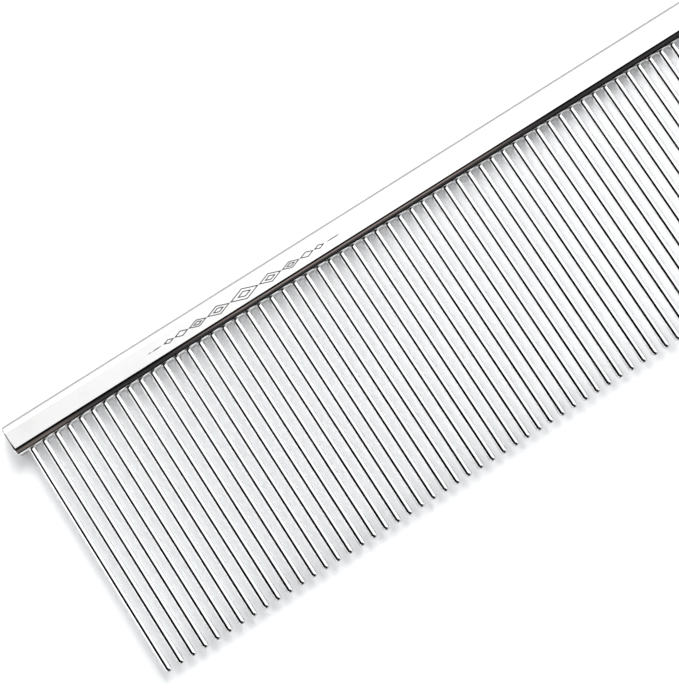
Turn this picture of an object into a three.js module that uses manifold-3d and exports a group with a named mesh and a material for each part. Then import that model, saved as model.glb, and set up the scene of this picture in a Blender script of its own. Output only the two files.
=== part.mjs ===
import * as THREE from 'three';
import { mergeVertices } from 'three/addons/utils/BufferGeometryUtils.js';
import Module from 'manifold-3d';

// A steel grooming comb, lying flat. Millimetres, +Z up.
// X runs along the spine, the tines point towards -Y and the spine's back faces +Y.
// The origin is the middle of the spine's lower flat face.

// Spine: a solid bar with a flat top and bottom, a bevelled nose that holds the tines, and a rounded back.
const SPINE_LENGTH = 190.5;
const SPINE_DEPTH = 4.8;
const SPINE_THICKNESS = 4.0;
const NOSE_BEVEL = 0.85;
const BACK_EDGE_RADIUS = 1.3;
const BACK_CORNER_RADIUS = 0.35;
const FRONT_CORNER_WIDTH = 0.4;
const FRONT_CORNER_DEPTH = 0.9;
const ARC_SEGMENTS = 2;

// Tines: straight round pins with bullet tips, evenly spaced along the nose.
const TINE_COUNT = 92;
const END_MARGIN = 2.2;
const TINE_DIAMETER = 1.06;
const EXPOSED_LENGTH = 37.8;
const TIP_LENGTH = 0.6;
const TIP_BANDS = 3;
const TINE_SIDES = 10;

// Seat of a tine inside the spine, and the hidden bridge that joins two tines into one hairpin.
const SEAT_DEPTH = 2.6;
const SEAT_CLEARANCE = 0.03;
const BRIDGE_DEPTH = 0.85;
const BRIDGE_HEIGHT = 0.8;
const BRIDGE_SETBACK = 0.05;

// Places worked out from the sizes above.
const TINE_PITCH = (SPINE_LENGTH - 2 * END_MARGIN) / (TINE_COUNT - 1);
const TINE_RADIUS = TINE_DIAMETER / 2;
const NOSE_Y = -SPINE_DEPTH / 2;
const BACK_Y = SPINE_DEPTH / 2;
const MID_Z = SPINE_THICKNESS / 2;
const SEAT_Y = NOSE_Y + SEAT_DEPTH;
const TIP_Y = NOSE_Y - EXPOSED_LENGTH;

const wasm = await Module();
wasm.setup();

// A closed three.js geometry as a solid that can be joined and cut.
function solidOf(geometry) {
  const bare = geometry.clone();
  bare.deleteAttribute('normal');
  bare.deleteAttribute('uv');
  const merged = mergeVertices(bare);
  const corners = merged.index.array;
  const triangles = [];
  for (let i = 0; i < corners.length; i += 3) {
    const [a, b, c] = corners.slice(i, i + 3);
    if (a !== b && b !== c && c !== a) {
      triangles.push(a, b, c);
    }
  }
  return new wasm.Manifold(new wasm.Mesh({
    numProp: 3,
    vertProperties: new Float32Array(merged.attributes.position.array),
    triVerts: new Uint32Array(triangles),
  }));
}

// A solid as a three.js geometry.
function geometryOf(solid) {
  const { vertProperties, triVerts } = solid.getMesh();
  const geometry = new THREE.BufferGeometry();
  geometry.setAttribute('position', new THREE.BufferAttribute(vertProperties, 3));
  geometry.setIndex(new THREE.BufferAttribute(triVerts, 1));
  geometry.computeVertexNormals();
  return geometry;
}

// The bar's cross-section in Y and Z, pushed along X.
function spineBar() {
  const section = new THREE.Shape();
  section.moveTo(NOSE_Y + NOSE_BEVEL, 0);
  section.lineTo(BACK_Y - BACK_EDGE_RADIUS, 0);
  section.absarc(BACK_Y - BACK_EDGE_RADIUS, BACK_EDGE_RADIUS, BACK_EDGE_RADIUS, -Math.PI / 2, 0);
  const upperArcZ = SPINE_THICKNESS - BACK_EDGE_RADIUS;
  section.absarc(BACK_Y - BACK_EDGE_RADIUS, upperArcZ, BACK_EDGE_RADIUS, 0, Math.PI / 2);
  section.lineTo(NOSE_Y + NOSE_BEVEL, SPINE_THICKNESS);
  section.lineTo(NOSE_Y, SPINE_THICKNESS - NOSE_BEVEL);
  section.lineTo(NOSE_Y, NOSE_BEVEL);
  section.closePath();
  const bar = new THREE.ExtrudeGeometry(section, {
    depth: SPINE_LENGTH,
    bevelEnabled: false,
    curveSegments: ARC_SEGMENTS,
  });
  const alongX = new THREE.Matrix4().makeBasis(
    new THREE.Vector3(0, 1, 0),
    new THREE.Vector3(0, 0, 1),
    new THREE.Vector3(1, 0, 0),
  );
  bar.applyMatrix4(alongX);
  bar.translate(-SPINE_LENGTH / 2, 0, 0);
  return solidOf(bar);
}

// The bar's outline from above, with round back corners and oval front corners, pushed through its thickness.
function spineOutline() {
  const endX = SPINE_LENGTH / 2;
  const back = BACK_CORNER_RADIUS;
  const frontX = endX - FRONT_CORNER_WIDTH;
  const frontY = NOSE_Y + FRONT_CORNER_DEPTH;
  const outline = new THREE.Shape();
  outline.moveTo(-frontX, NOSE_Y);
  outline.absellipse(frontX, frontY, FRONT_CORNER_WIDTH, FRONT_CORNER_DEPTH, -Math.PI / 2, 0);
  outline.absarc(endX - back, BACK_Y - back, back, 0, Math.PI / 2);
  outline.absarc(-endX + back, BACK_Y - back, back, Math.PI / 2, Math.PI);
  outline.absellipse(-frontX, frontY, FRONT_CORNER_WIDTH, FRONT_CORNER_DEPTH, Math.PI, 1.5 * Math.PI);
  const plate = new THREE.ExtrudeGeometry(outline, {
    depth: SPINE_THICKNESS + 2,
    bevelEnabled: false,
    curveSegments: ARC_SEGMENTS,
  });
  plate.translate(0, 0, -1);
  return solidOf(plate);
}

// A round pin along Y from its seated end to its tip. Its bullet tip is a quarter ellipse turned about its axis.
function tinePin(x, radius, seatY, tipY, tipLength) {
  const profile = [new THREE.Vector2(0, tipY)];
  for (let band = 1; band <= TIP_BANDS; band += 1) {
    const angle = (band / TIP_BANDS) * (Math.PI / 2);
    const y = tipY + tipLength * (1 - Math.cos(angle));
    profile.push(new THREE.Vector2(radius * Math.sin(angle), y));
  }
  profile.push(new THREE.Vector2(radius, seatY));
  profile.push(new THREE.Vector2(0, seatY));
  const pin = new THREE.LatheGeometry(profile, TINE_SIDES);
  pin.translate(x, 0, MID_Z);
  return solidOf(pin);
}

// The short bar that joins two neighbouring pins just short of their seated ends.
function bridgeBar(middleX, growth) {
  const bar = new THREE.BoxGeometry(
    TINE_PITCH,
    BRIDGE_DEPTH + 2 * growth,
    BRIDGE_HEIGHT + 2 * growth,
  );
  bar.translate(middleX, SEAT_Y - BRIDGE_SETBACK - BRIDGE_DEPTH / 2, MID_Z);
  return solidOf(bar);
}

// Two pins and their bridge as one hairpin.
function hairpin(middleX) {
  const left = tinePin(middleX - TINE_PITCH / 2, TINE_RADIUS, SEAT_Y, TIP_Y, TIP_LENGTH);
  const right = tinePin(middleX + TINE_PITCH / 2, TINE_RADIUS, SEAT_Y, TIP_Y, TIP_LENGTH);
  return left.add(right).add(bridgeBar(middleX, 0));
}

// The space a hairpin needs inside the spine: two round holes that open at the nose, joined by a pocket.
function hairpinSeat(middleX) {
  const radius = TINE_RADIUS + SEAT_CLEARANCE;
  const bottomY = SEAT_Y + SEAT_CLEARANCE;
  const mouthY = NOSE_Y - 2 * TIP_LENGTH;
  const left = tinePin(middleX - TINE_PITCH / 2, radius, bottomY, mouthY, TIP_LENGTH);
  const right = tinePin(middleX + TINE_PITCH / 2, radius, bottomY, mouthY, TIP_LENGTH);
  return left.add(right).add(bridgeBar(middleX, SEAT_CLEARANCE));
}

function spineMaterial() {
  return new THREE.MeshStandardMaterial({ color: 0xe2e2e1, roughness: 0.06, metalness: 1.0 });
}

function tineMaterial() {
  return new THREE.MeshStandardMaterial({ color: 0xd8d9da, roughness: 0.1, metalness: 1.0 });
}

function buildComb() {
  const comb = new THREE.Group();
  const middles = [];
  for (let first = 0; first < TINE_COUNT; first += 2) {
    middles.push((first + 0.5 - (TINE_COUNT - 1) / 2) * TINE_PITCH);
  }

  let spine = spineBar().intersect(spineOutline());
  for (const middleX of middles) {
    spine = spine.subtract(hairpinSeat(middleX));
  }
  const spineMesh = new THREE.Mesh(geometryOf(spine), spineMaterial());
  spineMesh.name = 'spine';
  comb.add(spineMesh);

  // One hairpin shape, set in the middle of the comb and placed once for each pair.
  const pairGeometry = geometryOf(hairpin(0));
  middles.forEach((middleX, index) => {
    const pair = new THREE.Mesh(pairGeometry, tineMaterial());
    pair.name = `tine_pair_${String(index + 1).padStart(2, '0')}`;
    pair.position.x = middleX;
    comb.add(pair);
  });
  return comb;
}

const group = buildComb();

export default group;
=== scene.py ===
"""Looks for a polished steel grooming comb that lies flat in a white studio.

The spine is one bar with rounded edges, a bevelled nose and a small ornament.
Each tine is a turned pin of its own, with a flared root and a rounded tip.
Shapes are worked out in millimetres and turned into metres when a mesh is made.

Known fault: the faces from turned() and groove() wind inwards. So the tines are inside out, and the
tines' seats and the ornament are not really cut: see cut().
"""
import math
import random

import bpy
from mathutils import Matrix, Vector


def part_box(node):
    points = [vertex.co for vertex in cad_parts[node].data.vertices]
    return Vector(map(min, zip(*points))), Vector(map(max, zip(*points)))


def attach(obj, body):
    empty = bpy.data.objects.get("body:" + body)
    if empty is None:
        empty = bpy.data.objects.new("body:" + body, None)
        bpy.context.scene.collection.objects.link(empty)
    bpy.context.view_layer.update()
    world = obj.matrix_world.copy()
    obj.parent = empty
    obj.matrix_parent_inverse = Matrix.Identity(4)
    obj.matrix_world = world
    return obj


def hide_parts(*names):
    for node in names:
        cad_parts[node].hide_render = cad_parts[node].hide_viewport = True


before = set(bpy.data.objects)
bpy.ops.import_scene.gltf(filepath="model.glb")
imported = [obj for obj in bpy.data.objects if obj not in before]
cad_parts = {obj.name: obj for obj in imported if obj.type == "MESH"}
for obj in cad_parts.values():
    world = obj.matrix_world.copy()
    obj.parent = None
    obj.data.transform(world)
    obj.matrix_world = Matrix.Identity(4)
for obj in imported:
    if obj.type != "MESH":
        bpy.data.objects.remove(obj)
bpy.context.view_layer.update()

MM = 0.001

# ---------------------------------------------------------------- sizes, in millimetres


def box_mm(node):
    """The lowest and highest corners of a CAD node, in millimetres."""
    low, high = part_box(node)
    return low / MM, high / MM


PAIRS = sorted(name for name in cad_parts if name.startswith("tine_pair_"))
SPINE_LOW, SPINE_HIGH = box_mm("spine")
NOSE_Y = SPINE_LOW.y
BACK_Y = SPINE_HIGH.y
THICKNESS = SPINE_HIGH.z
HALF_LENGTH = SPINE_HIGH.x

# Spine: where its edges lie and how they are rounded.
NOSE_BEVEL = 0.85
BEVEL_CROWN = 0.017
TOP_EDGE_RADIUS = 0.3
CROWN_RADIUS = 12.0
NOSE_EDGE_RADIUS = 0.42
BACK_EDGE_RADIUS = 1.3
FRONT_CORNER_WIDTH = 0.4
FRONT_CORNER_DEPTH = 0.9
BACK_CORNER_RADIUS = 0.35
END_EDGE_RADIUS = 0.26
TOP_EDGE_STEPS = 6
CROWN_STEPS = 5
NOSE_EDGE_STEPS = 6
BACK_EDGE_STEPS = 20
LENGTH_STEPS = 24
CORNER_STEPS = 10
SPINE_SHARP_DEGREES = 24

# Tines: the clearance of their seats, and the shape of their roots and tips.
# Each is pressed in very slightly out of true, by a lean drawn from a fixed seed.
SEAT_CLEARANCE = 0.02
SEAT_MOUTH = 1.0
FLARE_WIDTH = 0.13
FLARE_LENGTH = 0.18
FLARE_GAP = 0.004
FLARE_STEPS = 7
TIP_LENGTH = 0.6
TIP_STEPS = 9
TINE_SIDES = 28
TINE_LEAN = 0.03
TINE_SEED = 11
TINE_SHARP_DEGREES = 40

# Ornament: a chain of lozenges between two fine lines, meant as grooves in the upper face.
# The largest lozenges hold a smaller one each, and an open groove runs out thin and shallow at its ends.
ORNAMENT_X = -55.2
ORNAMENT_Y = -0.15
LOZENGE_LENGTHS = (4.6, 3.6, 2.8, 2.1, 1.5)
LOZENGE_SLIMNESS = 0.36
LOZENGE_SPACE = 0.35
INNER_LOZENGE = 0.45
DOUBLE_LOZENGES = 3
RULE_LENGTH = 2.6
RULE_STEPS = 4
GROOVE_WIDTH = 0.13
GROOVE_DEPTH = 0.07
GROOVE_LIFT = 0.03
GROOVE_END_SHARE = 0.15
SHARPEST_MITRE = 0.3


# ---------------------------------------------------------------- mesh helpers


def mesh_object(name, points_mm, faces):
    """A mesh object in metres from points in millimetres."""
    mesh = bpy.data.meshes.new(name)
    mesh.from_pydata([(x * MM, y * MM, z * MM) for x, y, z in points_mm], [], faces)
    mesh.validate()
    thing = bpy.data.objects.new(name, mesh)
    bpy.context.scene.collection.objects.link(thing)
    return thing


def joined_shells(name, shells):
    """One mesh object that holds several closed shells, each given as (points, faces)."""
    points, faces = [], []
    for shell_points, shell_faces in shells:
        first = len(points)
        points += shell_points
        faces += [[first + corner for corner in face] for face in shell_faces]
    return mesh_object(name, points, faces)


def loft(loops):
    """The skin through closed loops of points, with both ends capped, as (points, faces)."""
    count = len(loops[0])
    points = [point for loop in loops for point in loop]
    faces = [list(range(count))[::-1]]
    for row in range(len(loops) - 1):
        for i in range(count):
            here, there = row * count, (row + 1) * count
            after = (i + 1) % count
            faces.append([here + i, here + after, there + after, there + i])
    last = (len(loops) - 1) * count
    faces.append([last + i for i in range(count)])
    return points, faces


def turned(profile, sides, axis_x, axis_z, lean=(0.0, 0.0)):
    """A round solid about a line along Y, from (radius, y) pairs with rising y.

    Both ends close to a point. The lean shifts the far end of the pin, in X and Z, in proportion to its
    distance from the nose. Known fault: the faces wind inwards.
    """
    reach = NOSE_Y - profile[0][1]
    points, faces = [], []

    def centre(y):
        share = max(0.0, (NOSE_Y - y) / reach)
        return axis_x + lean[0] * share, axis_z + lean[1] * share

    for radius, y in profile[1:-1]:
        x, z = centre(y)
        for side in range(sides):
            angle = 2 * math.pi * side / sides
            points.append((x + radius * math.sin(angle), y, z + radius * math.cos(angle)))
    rings = len(profile) - 2
    first_pole, last_pole = len(points), len(points) + 1
    for radius, y in (profile[0], profile[-1]):
        x, z = centre(y)
        points.append((x, y, z))
    for side in range(sides):
        after = (side + 1) % sides
        faces.append([first_pole, side, after])
        for ring in range(rings - 1):
            near, far = ring * sides, (ring + 1) * sides
            faces.append([near + side, far + side, far + after, near + after])
        top = (rings - 1) * sides
        faces.append([top + side, last_pole, top + after])
    return points, faces


def cut(body, cutter):
    """Subtracts the cutter's closed shells from the body, then deletes the cutter.

    Known fault: the shells that are passed in wind inwards, so they stay in the body as closed shells
    under its surface, and nothing is taken away.
    """
    step = body.modifiers.new("cut", "BOOLEAN")
    step.operation = "DIFFERENCE"
    step.solver = "MANIFOLD"
    step.object = cutter
    bake(body)
    bpy.data.objects.remove(cutter)


def bake(thing):
    """Applies every modifier of an object to its mesh."""
    graph = bpy.context.evaluated_depsgraph_get()
    mesh = bpy.data.meshes.new_from_object(thing.evaluated_get(graph))
    thing.modifiers.clear()
    old = thing.data
    thing.data = mesh
    bpy.data.meshes.remove(old)
    mesh.name = thing.name


def smooth(thing, sharp_degrees):
    """Shades a mesh smooth, apart from its sharp edges, with large faces kept truly flat."""
    mesh = thing.data
    mesh.shade_smooth()
    mesh.set_sharp_from_angle(angle=math.radians(sharp_degrees))
    weighted = thing.modifiers.new("flat faces stay flat", "WEIGHTED_NORMAL")
    weighted.mode = "FACE_AREA"
    weighted.weight = 100
    weighted.keep_sharp = True


# ---------------------------------------------------------------- spine


def rounded_outline(corners):
    """Points of a closed outline whose corners, each (y, z, radius, steps), are rounded by arcs."""
    points = []
    for i, (y, z, radius, steps) in enumerate(corners):
        here = Vector((y, z))
        way_in = (here - Vector(corners[i - 1][:2])).normalized()
        way_out = (Vector(corners[(i + 1) % len(corners)][:2]) - here).normalized()
        turn = way_in.angle(way_out)
        inward = Vector((-way_in.y, way_in.x))
        start = here - way_in * radius * math.tan(turn / 2)
        centre = start + inward * radius
        for step in range(steps + 1):
            angle = turn * step / steps
            spoke = Matrix.Rotation(angle, 2) @ (-inward)
            points.append(tuple(centre + spoke * radius))
    return points


def spine_section():
    """The bar's cross-section as (y, z) points, anticlockwise from the lower front edge."""
    bevel_y = NOSE_Y + NOSE_BEVEL
    crown = BEVEL_CROWN / math.sqrt(2)
    crown_y = NOSE_Y + NOSE_BEVEL / 2 - crown
    crown_z = NOSE_BEVEL / 2 - crown
    return rounded_outline(
        [
            (bevel_y, 0.0, TOP_EDGE_RADIUS, TOP_EDGE_STEPS),
            (BACK_Y, 0.0, BACK_EDGE_RADIUS, BACK_EDGE_STEPS),
            (BACK_Y, THICKNESS, BACK_EDGE_RADIUS, BACK_EDGE_STEPS),
            (bevel_y, THICKNESS, TOP_EDGE_RADIUS, TOP_EDGE_STEPS),
            (crown_y, THICKNESS - crown_z, CROWN_RADIUS, CROWN_STEPS),
            (NOSE_Y, THICKNESS - NOSE_BEVEL, NOSE_EDGE_RADIUS, NOSE_EDGE_STEPS),
            (NOSE_Y, NOSE_BEVEL, NOSE_EDGE_RADIUS, NOSE_EDGE_STEPS),
            (crown_y, crown_z, CROWN_RADIUS, CROWN_STEPS),
        ]
    )


def corner_inset(distance, width, depth):
    """How far an oval corner pulls an edge in, at a distance from the end face."""
    if distance >= width:
        return 0.0
    return depth * (1 - math.sqrt(1 - ((width - distance) / width) ** 2))


def end_distances():
    """Distances from an end face that follow its rounded corners and edges."""
    distances = set()
    for width in (FRONT_CORNER_WIDTH, BACK_CORNER_RADIUS, END_EDGE_RADIUS):
        for step in range(CORNER_STEPS + 1):
            angle = math.pi / 2 * step / CORNER_STEPS
            distances.add(round(width * (1 - math.cos(angle)), 4))
    return sorted(distances)


def section_at(section, x):
    """The cross-section at a place along the spine, pulled in where an end is near."""
    distance = HALF_LENGTH - abs(x)
    front = NOSE_Y + corner_inset(distance, FRONT_CORNER_WIDTH, FRONT_CORNER_DEPTH)
    back = BACK_Y - corner_inset(distance, BACK_CORNER_RADIUS, BACK_CORNER_RADIUS)
    edge = corner_inset(distance, END_EDGE_RADIUS, END_EDGE_RADIUS)
    middle_y, middle_z = (front + back) / 2, THICKNESS / 2
    shrink_y = 1 - edge / ((back - front) / 2)
    shrink_z = 1 - edge / middle_z
    loop = []
    for y, z in section:
        y = min(max(y, front), back)
        loop.append((x, middle_y + (y - middle_y) * shrink_y, middle_z + (z - middle_z) * shrink_z))
    return loop


def spine_bar():
    """The plain bar, without seats or ornament."""
    near_end = [-HALF_LENGTH + distance for distance in end_distances()]
    inner = HALF_LENGTH - FRONT_CORNER_WIDTH
    between = [-inner + 2 * inner * step / LENGTH_STEPS for step in range(1, LENGTH_STEPS)]
    far_end = [-x for x in reversed(near_end)]
    section = spine_section()
    loops = [section_at(section, x) for x in near_end + between + far_end]
    return mesh_object("spine_bar", *loft(loops))


def seat_cutter(tines):
    """Round plugs where the tines sit in the nose."""
    shells = []
    for tine in tines:
        radius = tine["radius"] + SEAT_CLEARANCE
        bottom = tine["seat_y"] + SEAT_CLEARANCE
        mouth = NOSE_Y - SEAT_MOUTH
        profile = [(0.0, mouth), (radius, mouth), (radius, bottom), (0.0, bottom)]
        shells.append(turned(profile, TINE_SIDES, tine["x"], tine["z"]))
    return joined_shells("seat_cutter", shells)


# ---------------------------------------------------------------- ornament


def groove(path, closed):
    """A V-shaped groove's solid along a flat path of (x, y) points on the upper face.

    Known fault: the faces wind inwards.
    """
    count = len(path)
    half = GROOVE_WIDTH / 2 * (GROOVE_DEPTH + GROOVE_LIFT) / GROOVE_DEPTH
    top, bottom = THICKNESS + GROOVE_LIFT, THICKNESS - GROOVE_DEPTH
    loops = []
    for i, (x, y) in enumerate(path):
        here = Vector((x, y))
        before = Vector(path[i - 1]) if closed or i > 0 else None
        after = Vector(path[(i + 1) % count]) if closed or i < count - 1 else None
        way_in = (here - before).normalized() if before else (after - here).normalized()
        way_out = (after - here).normalized() if after else way_in
        mean = (way_in + way_out).normalized()
        across = Vector((-mean.y, mean.x)) / max(SHARPEST_MITRE, mean.dot(way_in))
        width = half if before and after else half * GROOVE_END_SHARE
        left, right = here + across * width, here - across * width
        depth = bottom if before and after else THICKNESS - GROOVE_DEPTH * GROOVE_END_SHARE
        loops.append([(left.x, left.y, top), (x, y, depth), (right.x, right.y, top)])
    if not closed:
        return loft(loops)
    points = [point for loop in loops for point in loop]
    faces = []
    for row in range(count):
        for i in range(3):
            here, there = row * 3, (row + 1) % count * 3
            after = (i + 1) % 3
            faces.append([here + i, here + after, there + after, there + i])
    return points, faces


def lozenge(x, y, length):
    """A diamond outline that is longest along the spine."""
    half, rise = length / 2, length * LOZENGE_SLIMNESS / 2
    return [(x - half, y), (x, y - rise), (x + half, y), (x, y + rise)]


def ornament_cutter():
    """Lozenges that shrink from the middle outwards, with a fine line at each end."""
    shells = []
    reach = 0.0
    for index, length in enumerate(LOZENGE_LENGTHS):
        middle = 0.0 if index == 0 else reach + LOZENGE_SPACE + length / 2
        reach = middle + length / 2
        for side in (1,) if index == 0 else (-1, 1):
            x = ORNAMENT_X + side * middle
            shells.append(groove(lozenge(x, ORNAMENT_Y, length), True))
            if index < DOUBLE_LOZENGES:
                shells.append(groove(lozenge(x, ORNAMENT_Y, length * INNER_LOZENGE), True))
    for side in (-1, 1):
        start = ORNAMENT_X + side * (reach + LOZENGE_SPACE)
        end = start + side * RULE_LENGTH
        low, high = sorted((start, end))
        path = [(low + (high - low) * step / RULE_STEPS, ORNAMENT_Y) for step in range(RULE_STEPS + 1)]
        shells.append(groove(path, False))
    return joined_shells("ornament_cutter", shells)


# ---------------------------------------------------------------- tines


def tine_places():
    """Where every tine stands, from the boxes of the pairs that hold it."""
    middles = [(box_mm(name)[0].x + box_mm(name)[1].x) / 2 for name in PAIRS]
    half_pitch = (middles[-1] - middles[0]) / (len(PAIRS) - 1) / 4
    places = []
    for name, middle in zip(PAIRS, middles):
        low, high = box_mm(name)
        for side in (-1, 1):
            places.append(
                {
                    "pair": name,
                    "x": middle + side * half_pitch,
                    "z": (low.z + high.z) / 2,
                    "radius": (high.z - low.z) / 2,
                    "seat_y": high.y,
                    "tip_y": low.y,
                }
            )
    return places


def tine_profile(radius, tip_y, seat_y):
    """A pin's profile from its tip to its seat: a rounded tip, a straight shank and a flared root."""
    profile = [(0.0, tip_y)]
    for step in range(1, TIP_STEPS + 1):
        angle = math.pi / 2 * step / TIP_STEPS
        profile.append((radius * math.sin(angle), tip_y + TIP_LENGTH * (1 - math.cos(angle))))
    flare_y = NOSE_Y - FLARE_GAP
    for step in range(FLARE_STEPS + 1):
        angle = math.pi / 2 * (1 - step / FLARE_STEPS)
        profile.append(
            (
                radius + FLARE_WIDTH * (1 - math.sin(angle)),
                flare_y - FLARE_LENGTH * (1 - math.cos(angle)),
            )
        )
    profile += [(radius, flare_y), (radius, seat_y), (0.0, seat_y)]
    return profile


def build_tine(number, place, chance):
    """One pin, very slightly out of true as a pressed pin is."""
    lean = (chance.uniform(-TINE_LEAN, TINE_LEAN), chance.uniform(-TINE_LEAN, TINE_LEAN))
    profile = tine_profile(place["radius"], place["tip_y"], place["seat_y"])
    tine = mesh_object(f"tine_{number:02d}", *turned(profile, TINE_SIDES, place["x"], place["z"], lean))
    smooth(tine, TINE_SHARP_DEGREES)
    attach(tine, "root")
    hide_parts(place["pair"])
    return tine


# ---------------------------------------------------------------- materials


# Polished plate reflects less just before its edges turn away from the eye.
EDGE_DARKNESS = 0.5

# Where each kind of wear begins and is full, in its own noise.
LINE_RANGE = (0.3, 0.7)
SMUDGE_RANGE = (0.45, 0.75)
SCRATCH_RANGE = (0.70, 0.76)
SPECK_RANGE = (0.72, 0.8)

# Scratches run with the grain, on a coarser noise. Specks have no direction.
SCRATCH_GRAIN_SHARE = 0.37
SCRATCH_GRAIN_LEAST = 0.02
SPECK_GRAIN = 2.3

# The first three are shares of a metal's own roughness, and the last two are added to it.
ROUGH_CLEAN = 0.75
ROUGH_LINES = 0.5
ROUGH_SMUDGES = 0.9
ROUGH_SCRATCHES = 0.12
ROUGH_SPECKS = 0.1

# How far a smudge turns the tint to its shade, how deep a scratch is beside the grain, and the bump's height.
SMUDGE_SHADE = 0.6
SCRATCH_DEPTH = 0.8
GRAIN_RELIEF = 0.01 * MM


def add(tree, kind, inputs=None, **settings):
    """A shader node with its settings and input values, where a value may be another node's output."""
    node = tree.nodes.new(kind)
    for name, value in settings.items():
        setattr(node, name, value)
    for name, value in (inputs or {}).items():
        if isinstance(value, bpy.types.NodeSocket):
            tree.links.new(value, node.inputs[name])
        else:
            node.inputs[name].default_value = value
    return node


def math_of(tree, operation, a, b=0.0):
    """The output of a maths node."""
    return add(tree, "ShaderNodeMath", {0: a, 1: b}, operation=operation).outputs[0]


def ramp_of(tree, value, low, high, out_low=0.0, out_high=1.0):
    """A value eased from one range to another."""
    inputs = {"Value": value, "From Min": low, "From Max": high, "To Min": out_low, "To Max": out_high}
    return add(tree, "ShaderNodeMapRange", inputs, interpolation_type="SMOOTHSTEP").outputs["Result"]


def mix_of(tree, factor, first, second):
    """A colour between two, where each may be three numbers, one number or another node's output."""
    values = {"Factor": factor}
    for socket, value in (("A", first), ("B", second)):
        if isinstance(value, (int, float)):
            value = (value,) * 3
        values[socket] = (*value, 1) if isinstance(value, tuple) else value
    return add(tree, "ShaderNodeMix", values, data_type="RGBA").outputs["Result"]


def toward(tree, way, target):
    """How far a direction points towards a target direction, from -1 to 1."""
    return add(tree, "ShaderNodeVectorMath", {0: way, 1: target}, operation="DOT_PRODUCT").outputs["Value"]


def band_of(tree, value, low, high, edge):
    """One between low and high, and zero outside, with soft edges."""
    rise = ramp_of(tree, value, low - edge, low)
    fall = ramp_of(tree, value, high + edge, high)
    return math_of(tree, "MULTIPLY", rise, fall)


def stretched_noise(tree, place, scale, detail=4.0, roughness=0.6):
    """Noise in the object's own space, with a scale for each axis, per millimetre."""
    per_metre = [s / MM for s in scale]
    mapping = add(tree, "ShaderNodeMapping", {"Vector": place, "Scale": per_metre})
    inputs = {"Vector": mapping.outputs[0], "Scale": 1.0, "Detail": detail, "Roughness": roughness}
    return add(tree, "ShaderNodeTexNoise", inputs).outputs["Fac"]


def polished_metal(name, tint, shade, roughness, grain, grain_strength, smudge_scale):
    """Bright metal with fine grinding lines, a few hairline scratches, specks and faint smudges."""
    material = bpy.data.materials.new(name)
    material.use_nodes = True
    tree = material.node_tree
    tree.nodes.clear()
    place = add(tree, "ShaderNodeTexCoord").outputs["Object"]

    lines = stretched_noise(tree, place, grain, detail=6.0, roughness=0.7)
    smudges = stretched_noise(tree, place, (smudge_scale,) * 3, detail=3.0)
    specks = stretched_noise(tree, place, (SPECK_GRAIN,) * 3, detail=2.0)
    scratch_grain = tuple(g * SCRATCH_GRAIN_SHARE + SCRATCH_GRAIN_LEAST for g in grain)
    scratch_field = stretched_noise(tree, place, scratch_grain, detail=2.0)
    scratches = ramp_of(tree, scratch_field, *SCRATCH_RANGE)

    smudge_mask = ramp_of(tree, smudges, *SMUDGE_RANGE)
    rough = math_of(tree, "MULTIPLY_ADD", ramp_of(tree, lines, *LINE_RANGE), roughness * ROUGH_LINES)
    rough.node.inputs[2].default_value = roughness * ROUGH_CLEAN
    for mask, amount in (
        (smudge_mask, roughness * ROUGH_SMUDGES),
        (scratches, ROUGH_SCRATCHES),
        (ramp_of(tree, specks, *SPECK_RANGE), ROUGH_SPECKS),
    ):
        rough = math_of(tree, "ADD", rough, math_of(tree, "MULTIPLY", mask, amount))

    smudged = math_of(tree, "MULTIPLY", smudge_mask, SMUDGE_SHADE)
    height = math_of(tree, "SUBTRACT", lines, math_of(tree, "MULTIPLY", scratches, SCRATCH_DEPTH))
    bump = add(
        tree,
        "ShaderNodeBump",
        {"Height": height, "Strength": grain_strength, "Distance": GRAIN_RELIEF},
    )
    surface = add(
        tree,
        "ShaderNodeBsdfPrincipled",
        {
            "Base Color": mix_of(tree, smudged, tint, shade),
            "Metallic": 1.0,
            "Specular Tint": (EDGE_DARKNESS,) * 3 + (1,),
            "Roughness": rough,
            "Normal": bump.outputs["Normal"],
        },
    )
    add(tree, "ShaderNodeOutputMaterial", {"Surface": surface.outputs["BSDF"]})
    return material


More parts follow.
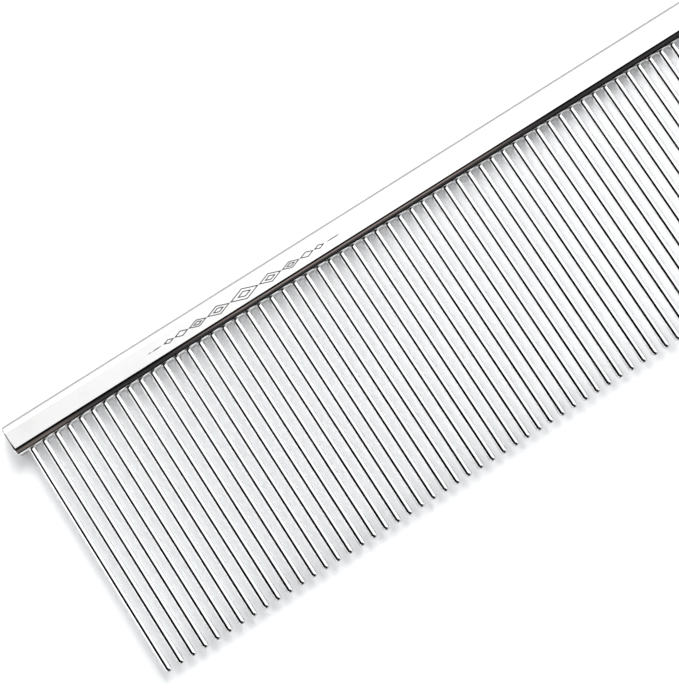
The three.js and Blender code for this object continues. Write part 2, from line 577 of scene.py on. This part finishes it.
def floor_material():
    """Matt white paper with a barely visible tooth, which glows as painted light and shows painted shade in
    reflections.
    """
    material = bpy.data.materials.new("white_paper")
    material.use_nodes = True
    tree = material.node_tree
    surface = tree.nodes["Principled BSDF"]
    place = add(tree, "ShaderNodeTexCoord").outputs["Object"]
    tooth = stretched_noise(tree, place, (PAPER_GRAIN,) * 3)
    relief = {"Height": tooth, "Strength": PAPER_BUMP, "Distance": PAPER_RELIEF}
    bump = add(tree, "ShaderNodeBump", relief)
    tree.links.new(bump.outputs["Normal"], surface.inputs["Normal"])
    surface.inputs["Roughness"].default_value = PAPER_ROUGHNESS
    surface.inputs["Specular IOR Level"].default_value = 0.0
    rays = add(tree, "ShaderNodeLightPath").outputs
    axes = add(tree, "ShaderNodeSeparateXYZ", {0: place}).outputs

    # Painted light: the paper in front glows a little for the eye, less so far out and, towards the right, at
    # the spine's foot, which deepens the shadow there. Beside the left end it glows a little more, which
    # pales the shadow there.
    nose = NOSE_Y * MM
    painted_glow = ramp_of(tree, axes["X"], *SEEN_PAINTED_GLOW_X, *SEEN_PAINTED_GLOW)
    foot = ramp_of(tree, axes["X"], *SEEN_PAINTED_GLOW_X, *FOOT_SHARE)
    near_part = ramp_of(tree, axes["Y"], nose, nose - FOOT_REACH, foot, 1.0)
    far_part = ramp_of(tree, axes["Y"], nose - FAR_REACH[0], nose - FAR_REACH[1], 1.0, FAR_SHARE)
    painted_glow = math_of(tree, "MULTIPLY", painted_glow, math_of(tree, "MULTIPLY", near_part, far_part))
    end = -HALF_LENGTH * MM
    beside = math_of(
        tree,
        "MULTIPLY",
        ramp_of(tree, axes["X"], end + END_REACH, end),
        ramp_of(tree, axes["Y"], nose - END_REACH, nose + END_REACH),
    )
    painted_glow = math_of(tree, "ADD", painted_glow, math_of(tree, "MULTIPLY", beside, END_PAINTED_GLOW))
    seen = math_of(tree, "MULTIPLY", rays["Is Camera Ray"], painted_glow)
    # Painted reflection: the metal sees the paper in front of the nose glow, from just off the nose out to
    # about the tines' tips.
    near, far = MIRROR_REACH
    mirrored_glow = ramp_of(tree, axes["Y"], nose - near, nose - far, 0.0, MIRRORED_PAINTED_GLOW)
    among = ramp_of(tree, axes["Y"], nose - MIRROR_END[0], nose - MIRROR_END[1])
    mirrored_glow = math_of(tree, "MULTIPLY", mirrored_glow, among)

    # Painted shade in reflections: reflections that run towards the back see the paper among the tines dark
    # grey and without its glow, so the tines show from in front. Light that the paper itself has scattered
    # does not, which keeps the paper between the tines pale.
    incoming = add(tree, "ShaderNodeNewGeometry").outputs["Incoming"]
    back_going = ramp_of(tree, toward(tree, incoming, FRONT_WAY), *BACK_GOING)
    greyed = math_of(tree, "MULTIPLY", back_going, ramp_of(tree, axes["Y"], nose, nose - far))
    greyed = math_of(tree, "MULTIPLY", greyed, ramp_of(tree, rays["Diffuse Depth"], 1.0, 0.0))
    mirrored_glow = math_of(tree, "MULTIPLY", mirrored_glow, math_of(tree, "SUBTRACT", 1.0, greyed))
    mirrored = math_of(tree, "MULTIPLY", rays["Is Glossy Ray"], mirrored_glow)
    tree.links.new(math_of(tree, "ADD", seen, mirrored), surface.inputs["Emission Strength"])

    # Painted shade in reflections: the metal sees the paper behind and beside the spine darker than the eye
    # does.
    behind = ramp_of(tree, axes["Y"], 0.0, BACK_Y * MM)
    around = math_of(tree, "MAXIMUM", behind, beside)
    shaded = math_of(tree, "MULTIPLY", rays["Is Glossy Ray"], around)
    paper = mix_of(tree, shaded, PAPER_WHITE, PAINTED_SHADE_BEHIND)
    greyed = math_of(tree, "MULTIPLY", rays["Is Glossy Ray"], greyed)
    paper = mix_of(tree, greyed, paper, PAINTED_SHADE_AMONG_TINES)
    tree.links.new(paper, surface.inputs["Base Color"])
    surface.inputs["Emission Color"].default_value = (1, 1, 1, 1)
    return material


# ---------------------------------------------------------------- studio

# A white studio lies behind, above and to the right of the comb. In front and to the left is an unlit room.
# Directions are unit vectors, and edges and heights are parts of one. Levels are in scene units, where 1
# shows as white. The light grows from the edge of the room to its far side.
DARK_WAY = (-0.574, -0.819, 0.0)
WHITE_EDGE, DARK_EDGE = -0.05, -0.015
PANEL_NEAR, PANEL_FAR = 1.3, 1.7
PANEL_RANGE = (-0.05, -0.3)
KEY_WAY = (0.46, 0.52, 0.72)
KEY_EDGES = (0.93, 0.985)
KEY_WHITE = 10.5
HORIZON = (0.0, -0.02)
BELOW_WHITE = 1.0
SEEN_WHITE = 1.05

# The room: nearly black, with a dim band low in front that is warm at the left, and one pale streak.
# Bands are given as low, high and soft edge.
ROOM_BLACK = (0.005, 0.0047, 0.005)
ROOM_WARM = (0.225, 0.193, 0.178)
ROOM_COOL = (0.058, 0.055, 0.057)
WARM_EDGES = (-0.07, -0.115)
LOW_BAND = (0.135, 0.195, 0.018)
ROOM_STREAK = (0.40, 0.33, 0.31)
STREAK_HEIGHT = (0.190, 0.215, 0.012)
STREAK_WIDTH = (0.05, 0.20, 0.08)

# A low white wall far to the left.
WALL_WAY = (-0.87, 0.50, 0.0)
WALL_EDGES = (0.3, 0.6)
WALL_TOP = (0.27, 0.22)
WALL_WHITE = 2.6

# In reflections only: soft grey panels at the two front corners, and grey at the two back corners that
# fades upwards.
FRONT_WAY = (0.0, -1.0, 0.0)
FRONT_EDGES = (0.3, 0.55)
FRONT_HEIGHT = (0.02, 0.3)
FRONT_GREY = 0.55
WING_EDGES_X = (0.42, 0.56)
WING_EDGES_Y = (0.2, 0.4)
WING_HEIGHT = (0.95, 0.5)
WING_GREY = 0.1

# The paper, and the painted glow and painted shade that it adds for the eye and for the metal's reflections.
FLOOR_SIZE = 4.0
FLOOR_DROP = 0.02 * MM
PAPER_GRAIN = 1.5
PAPER_BUMP = 0.05
PAPER_RELIEF = 0.05 * MM
PAPER_ROUGHNESS = 0.9
PAPER_WHITE = (0.85, 0.866, 0.876)
# Painted shade in reflections: the paper's colour behind and beside the spine, and its grey among the tines
# for reflections that run towards the back.
PAINTED_SHADE_BEHIND = (0.64, 0.65, 0.66)
PAINTED_SHADE_AMONG_TINES = 0.1
BACK_GOING = (0.3, 0.5)
# Painted glow of the paper: first what the eye sees, then what the metal's reflections see.
SEEN_PAINTED_GLOW = (0.13, 0.29)
SEEN_PAINTED_GLOW_X = (-90 * MM, 10 * MM)
FOOT_SHARE = (1.1, 0.15)
FOOT_REACH = 2.0 * MM
FAR_SHARE = 0.6
FAR_REACH = (3.0 * MM, 9.0 * MM)
END_PAINTED_GLOW = 0.14
END_REACH = 1.5 * MM
MIRRORED_PAINTED_GLOW = 0.78
MIRROR_REACH = (0.12 * MM, 0.45 * MM)
MIRROR_END = (39.0 * MM, 33.0 * MM)


def build_world():
    """White light from behind, above and the right, and a dim room in front and to the left."""
    world = bpy.data.worlds.new("studio")
    bpy.context.scene.world = world
    world.use_nodes = True
    tree = world.node_tree
    tree.nodes.clear()
    way = add(tree, "ShaderNodeTexCoord").outputs["Generated"]
    axes = add(tree, "ShaderNodeSeparateXYZ", {0: way}).outputs

    warm = ramp_of(tree, axes["X"], *WARM_EDGES)
    glow = mix_of(tree, warm, ROOM_COOL, ROOM_WARM)
    low_band = band_of(tree, axes["Z"], *LOW_BAND)
    room = mix_of(tree, low_band, ROOM_BLACK, glow)
    streak = math_of(
        tree,
        "MULTIPLY",
        band_of(tree, axes["Z"], *STREAK_HEIGHT),
        band_of(tree, axes["X"], *STREAK_WIDTH),
    )
    room = mix_of(tree, streak, room, ROOM_STREAK)

    left = ramp_of(tree, toward(tree, way, WALL_WAY), *WALL_EDGES)
    wall = math_of(tree, "MULTIPLY", left, ramp_of(tree, axes["Z"], *WALL_TOP))
    room = mix_of(tree, wall, room, WALL_WHITE)

    rays = add(tree, "ShaderNodeLightPath").outputs
    aside = ramp_of(tree, math_of(tree, "ABSOLUTE", axes["X"]), *WING_EDGES_X)
    front = ramp_of(tree, toward(tree, way, FRONT_WAY), *FRONT_EDGES)
    front = math_of(tree, "MULTIPLY", front, ramp_of(tree, axes["Z"], *FRONT_HEIGHT))
    front = math_of(tree, "MULTIPLY", front, aside)
    room = mix_of(tree, math_of(tree, "MULTIPLY", front, rays["Is Glossy Ray"]), room, FRONT_GREY)

    side = toward(tree, way, DARK_WAY)
    white = mix_of(tree, ramp_of(tree, side, *PANEL_RANGE), PANEL_NEAR, PANEL_FAR)
    white = mix_of(tree, ramp_of(tree, toward(tree, way, KEY_WAY), *KEY_EDGES), white, KEY_WHITE)
    wing = math_of(tree, "MULTIPLY", aside, ramp_of(tree, axes["Y"], *WING_EDGES_Y))
    wing = math_of(tree, "MULTIPLY", wing, ramp_of(tree, axes["Z"], *WING_HEIGHT))
    white = mix_of(tree, math_of(tree, "MULTIPLY", wing, rays["Is Glossy Ray"]), white, WING_GREY)
    dome = mix_of(tree, ramp_of(tree, side, WHITE_EDGE, DARK_EDGE), white, room)
    below = ramp_of(tree, axes["Z"], *HORIZON)
    all_round = mix_of(tree, below, dome, BELOW_WHITE)
    shown = mix_of(tree, rays["Is Camera Ray"], all_round, SEEN_WHITE)
    light = add(tree, "ShaderNodeBackground", {"Color": shown, "Strength": 1.0})
    add(tree, "ShaderNodeOutputWorld", {"Surface": light.outputs["Background"]})


def build_floor():
    """A wide sheet of white paper just under the comb."""
    half = FLOOR_SIZE / 2 / MM
    z = -FLOOR_DROP / MM
    floor = mesh_object(
        "floor",
        [(-half, -half, z), (half, -half, z), (half, half, z), (-half, half, z)],
        [[0, 1, 2, 3]],
    )
    floor.data.materials.append(floor_material())


# ---------------------------------------------------------------- camera

CAMERA_PLACE = (-65.13, -37.27, 218.88)
CAMERA_LOOK = (0.0804, 0.1068, -0.991)
CAMERA_RIGHT = (0.8405, -0.5417, 0.0098)
CAMERA_LENS = 77.76
CAMERA_SENSOR = 36.0
CAMERA_CLIP = (0.01, 20.0)


def build_camera():
    """A long lens almost straight above the comb's left half, turned so that the spine rises to the right."""
    data = bpy.data.cameras.new("camera")
    data.lens = CAMERA_LENS
    data.sensor_width = CAMERA_SENSOR
    data.clip_start, data.clip_end = CAMERA_CLIP
    camera = bpy.data.objects.new("camera", data)
    bpy.context.scene.collection.objects.link(camera)
    back = -Vector(CAMERA_LOOK).normalized()
    right = Vector(CAMERA_RIGHT)
    right = (right - back * right.dot(back)).normalized()
    up = back.cross(right)
    turn = Matrix((right, up, back)).transposed().to_4x4()
    camera.matrix_world = Matrix.Translation(Vector(CAMERA_PLACE) * MM) @ turn
    bpy.context.scene.camera = camera


# ---------------------------------------------------------------- build


def build_spine(tines):
    """The bar, with its seats and its ornament passed to the cut."""
    spine = spine_bar()
    cut(spine, seat_cutter(tines))
    cut(spine, ornament_cutter())
    smooth(spine, SPINE_SHARP_DEGREES)
    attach(spine, "root")
    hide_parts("spine")
    return spine


places = tine_places()
spine = build_spine(places)
spine.data.materials.clear()
spine.data.materials.append(
    polished_metal(
        "spine_chrome",
        tint=(0.70, 0.70, 0.697),
        shade=(0.66, 0.66, 0.655),
        roughness=0.05,
        grain=(0.25, 9.0, 9.0),
        grain_strength=0.06,
        smudge_scale=0.16,
    )
)
tine_finish = polished_metal(
    "tine_steel",
    tint=(0.78, 0.78, 0.785),
    shade=(0.73, 0.73, 0.735),
    roughness=0.07,
    grain=(11.0, 0.2, 11.0),
    grain_strength=0.06,
    smudge_scale=0.2,
)
chance = random.Random(TINE_SEED)
for number, place in enumerate(places, start=1):
    build_tine(number, place, chance).data.materials.append(tine_finish)

build_floor()
build_world()
build_camera()
bpy.context.scene.view_settings.view_transform = "Standard"
